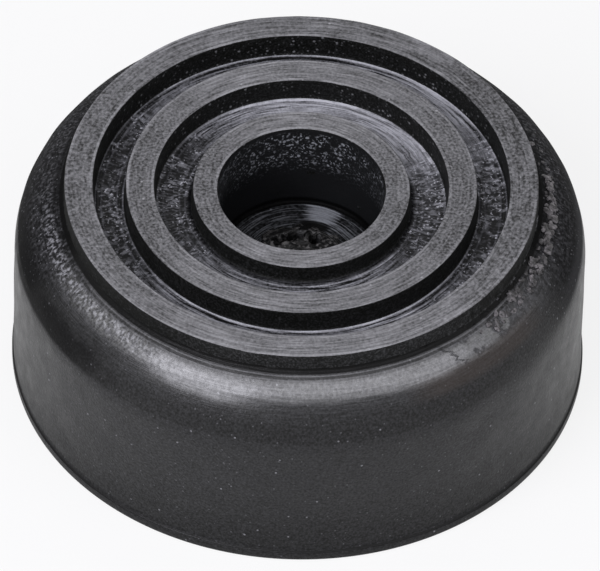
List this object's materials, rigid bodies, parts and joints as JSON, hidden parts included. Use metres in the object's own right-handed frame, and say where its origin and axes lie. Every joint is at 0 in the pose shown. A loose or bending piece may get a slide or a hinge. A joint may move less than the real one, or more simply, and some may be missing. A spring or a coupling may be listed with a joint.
{
  "type": "rubber foot",
  "caption": "Round screw-on rubber foot with a domed shoulder, concentric grip ribs on the sole and a counterbored screw hole.",
  "frame": {"origin": "centre of the flat mounting face, on the axis of the screw hole", "axes": "+Z along the screw hole's axis, from the mounting face towards the ribbed sole; the foot is round, so X and Y are free"},
  "size_m": [0.038, 0.038, 0.016],
  "materials": {
    "rubber": "satin black moulded rubber, greyer and finely turned on the rib tops"
  },
  "bodies": {
    "root": {"rubber_foot": "rubber"}
  },
  "joints": []
}
